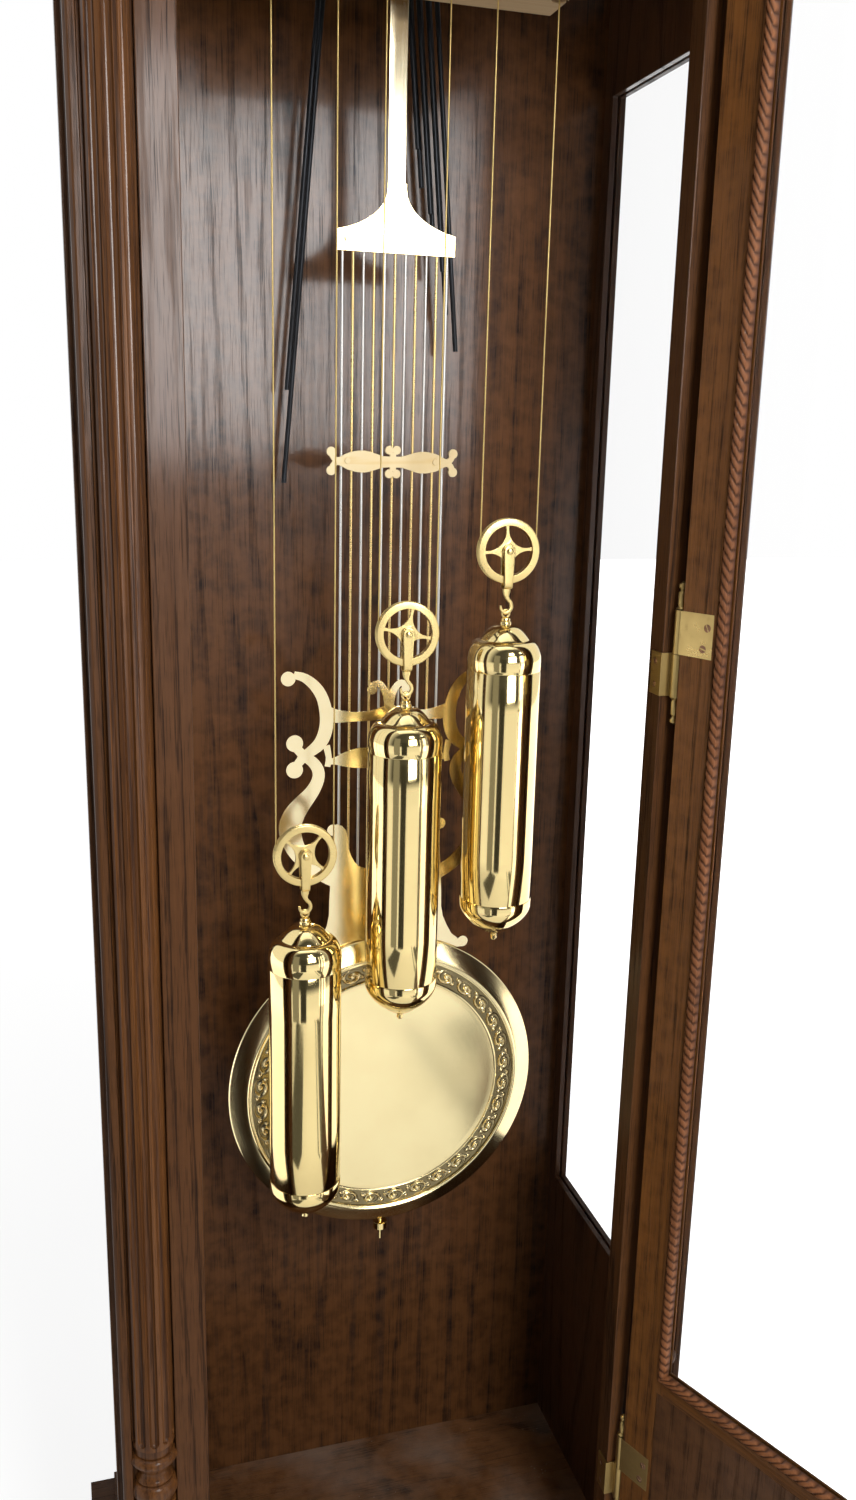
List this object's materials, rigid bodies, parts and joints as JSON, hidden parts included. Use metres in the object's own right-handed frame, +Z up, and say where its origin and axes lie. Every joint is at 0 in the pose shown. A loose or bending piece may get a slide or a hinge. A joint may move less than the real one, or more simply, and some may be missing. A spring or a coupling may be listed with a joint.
{
  "type": "longcase clock",
  "caption": "Tall floor-standing pendulum clock: dark wooden case, full-length glazed door, cable-hung weights on pulleys, gridiron pendulum with a pierced lyre.",
  "frame": {"origin": "on the floor below the pendulum, halfway between the case's sides", "axes": "+X to the right seen from the front, +Y to the back, +Z up"},
  "size_m": [0.6547, 0.6029, 2.36],
  "materials": {
    "case_oak": "dark stained oak, satin",
    "panel_oak": "dark stained oak, satin",
    "column_oak": "stained oak, satin",
    "bead_wood": "reddish brown, satin",
    "seat_ply": "plain, matt",
    "pane": "clear",
    "polished_brass": "polished, lacquered",
    "plate_brass": "satin, lacquered",
    "wheel_brass": "satin",
    "antique_brass": "aged, satin",
    "cable_brass": "braided wire",
    "rod_brass": "satin",
    "rod_steel": "drawn, satin",
    "ring_silver": "silvered, matt",
    "hand_steel": "black, satin",
    "chime_steel": "blued",
    "chime_iron": "painted black"
  },
  "bodies": {
    "case": {"plinth": "case_oak", "base_carcase": "case_oak", "base_panel": "panel_oak", "waist_moulding": "case_oak", "trunk_floor": "case_oak", "back_panel": "case_oak", "side_panel_left": "case_oak", "side_panel_right": "case_oak", "side_windows": "pane", "front_frame": "case_oak", "fluted_column_left": "column_oak", "fluted_column_right": "column_oak", "top_board": "case_oak", "cornice": "case_oak", "pediment": "case_oak", "finial": "case_oak", "case_hinge_leaves": "antique_brass", "seatboard": "seat_ply", "seat_bearers": "case_oak", "movement_plates": "plate_brass", "suspension_bracket": "plate_brass", "suspension_spring": "rod_steel", "dial_surround": "case_oak", "dial_plate": "plate_brass", "chapter_ring": "ring_silver", "chime_block": "chime_iron", "chime_rods": "chime_steel", "hammer_bracket": "plate_brass", "cable_left": "cable_brass", "cable_middle": "cable_brass", "cable_right": "cable_brass"},
    "trunk_door": {"door_frame": "case_oak", "door_panel": "panel_oak", "door_glass": "pane", "door_bead": "bead_wood", "door_hinge_leaves": "antique_brass"},
    "latch": {"door_knob": "antique_brass"},
    "pendulum": {"pendulum_hanger": "plate_brass", "gridiron_bracket": "plate_brass", "steel_rods": "rod_steel", "brass_rods": "rod_brass", "gridiron_clip": "plate_brass", "lyre_plate": "plate_brass", "pendulum_stem": "plate_brass", "bob": "polished_brass"},
    "anchor_arbor": {"anchor": "rod_steel"},
    "strike_train": {"strike_hammers": "wheel_brass"},
    "chime_train": {"chime_hammers": "wheel_brass"},
    "minute_arbor": {"minute_hand": "hand_steel"},
    "hour_pipe": {"hour_hand": "hand_steel"},
    "weight_left_hung": {"weight_left": "polished_brass"},
    "pulley_left_wheel": {"pulley_left": "wheel_brass"},
    "drum_left_turning": {"drum_left": "wheel_brass"},
    "weight_middle_hung": {"weight_middle": "polished_brass"},
    "pulley_middle_wheel": {"pulley_middle": "wheel_brass"},
    "drum_middle_turning": {"drum_middle": "wheel_brass"},
    "weight_right_hung": {"weight_right": "polished_brass"},
    "pulley_right_wheel": {"pulley_right": "wheel_brass"},
    "drum_right_turning": {"drum_right": "wheel_brass"}
  },
  "joints": [
    {"name": "door_hinge", "type": "hinge", "parent": "case", "child": "trunk_door", "pos_m": [0.1855, -0.135, 1.2855], "axis": [0, 0, 1], "range_deg": [-113.5, 5]},
    {"name": "latch_turn", "type": "hinge", "parent": "trunk_door", "child": "latch", "pos_m": [0.32516, -0.4562, 1.2], "axis": [0.9171, 0.3987, 0], "range_deg": [0, 90]},
    {"name": "pendulum_swing", "type": "hinge", "parent": "case", "child": "pendulum", "pos_m": [0, 0.015, 1.945], "axis": [0, 1, 0], "range_deg": [-3, 3], "deforming": ["suspension_spring"]},
    {"name": "anchor_rock", "type": "hinge", "parent": "case", "child": "anchor_arbor", "pos_m": [0, 0, 1.945], "axis": [0, 1, 0], "range_deg": [-3, 3]},
    {"name": "strike_lift", "type": "hinge", "parent": "case", "child": "strike_train", "pos_m": [0, 0.034, 1.803], "axis": [1, 0, 0], "range_deg": [-20, 0]},
    {"name": "chime_lift", "type": "hinge", "parent": "case", "child": "chime_train", "pos_m": [0, 0.034, 1.803], "axis": [1, 0, 0], "range_deg": [-20, 0]},
    {"name": "minute_turn", "type": "hinge", "parent": "case", "child": "minute_arbor", "pos_m": [0, -0.12, 1.922], "axis": [0, 1, 0], "continuous": true},
    {"name": "hour_turn", "type": "hinge", "parent": "case", "child": "hour_pipe", "pos_m": [0, -0.12, 1.922], "axis": [0, 1, 0], "continuous": true},
    {"name": "weight_left_travel", "type": "slide", "parent": "case", "child": "weight_left_hung", "axis": [0, 0, 1], "range_m": [-0.372, 0.596], "deforming": ["cable_left"]},
    {"name": "pulley_left_turn", "type": "hinge", "parent": "weight_left_hung", "child": "pulley_left_wheel", "pos_m": [-0.081, -0.04, 1.114], "axis": [0, -1, 0], "range_deg": [-923.7, 1476.9]},
    {"name": "drum_left_turn", "type": "hinge", "parent": "case", "child": "drum_left_turning", "pos_m": [-0.081, -0.04, 1.868], "axis": [0, 1, 0], "range_deg": [-1842.4, 2948.8]},
    {"name": "weight_middle_travel", "type": "slide", "parent": "case", "child": "weight_middle_hung", "axis": [0, 0, 1], "range_m": [-0.548, 0.418], "deforming": ["cable_middle"]},
    {"name": "pulley_middle_turn", "type": "hinge", "parent": "weight_middle_hung", "child": "pulley_middle_wheel", "pos_m": [0, -0.04, 1.29], "axis": [0, -1, 0], "range_deg": [-1358.4, 1037.3]},
    {"name": "drum_middle_turn", "type": "hinge", "parent": "case", "child": "drum_middle_turning", "pos_m": [0, -0.04, 1.868], "axis": [0, 1, 0], "range_deg": [-2711.7, 2069.6]},
    {"name": "weight_right_travel", "type": "slide", "parent": "case", "child": "weight_right_hung", "axis": [0, 0, 1], "range_m": [-0.61, 0.355], "deforming": ["cable_right"]},
    {"name": "pulley_right_turn", "type": "hinge", "parent": "weight_right_hung", "child": "pulley_right_wheel", "pos_m": [0.081, -0.04, 1.354], "axis": [0, -1, 0], "range_deg": [-1511.5, 881.7]},
    {"name": "drum_right_turn", "type": "hinge", "parent": "case", "child": "drum_right_turning", "pos_m": [0.081, -0.04, 1.868], "axis": [0, 1, 0], "range_deg": [-3018, 1758.4]}
  ],
  "couplings": [
    {"joint": "anchor_rock", "follows": "pendulum_swing", "ratio": 1},
    {"joint": "hour_turn", "follows": "minute_turn", "ratio": 0.083333},
    {"joint": "pulley_left_turn", "follows": "weight_left_travel", "rad_per_m": 43.103},
    {"joint": "drum_left_turn", "follows": "weight_left_travel", "rad_per_m": 86.207},
    {"joint": "pulley_middle_turn", "follows": "weight_middle_travel", "rad_per_m": 43.103},
    {"joint": "drum_middle_turn", "follows": "weight_middle_travel", "rad_per_m": 86.207},
    {"joint": "pulley_right_turn", "follows": "weight_right_travel", "rad_per_m": 43.103},
    {"joint": "drum_right_turn", "follows": "weight_right_travel", "rad_per_m": 86.207}
  ]
}
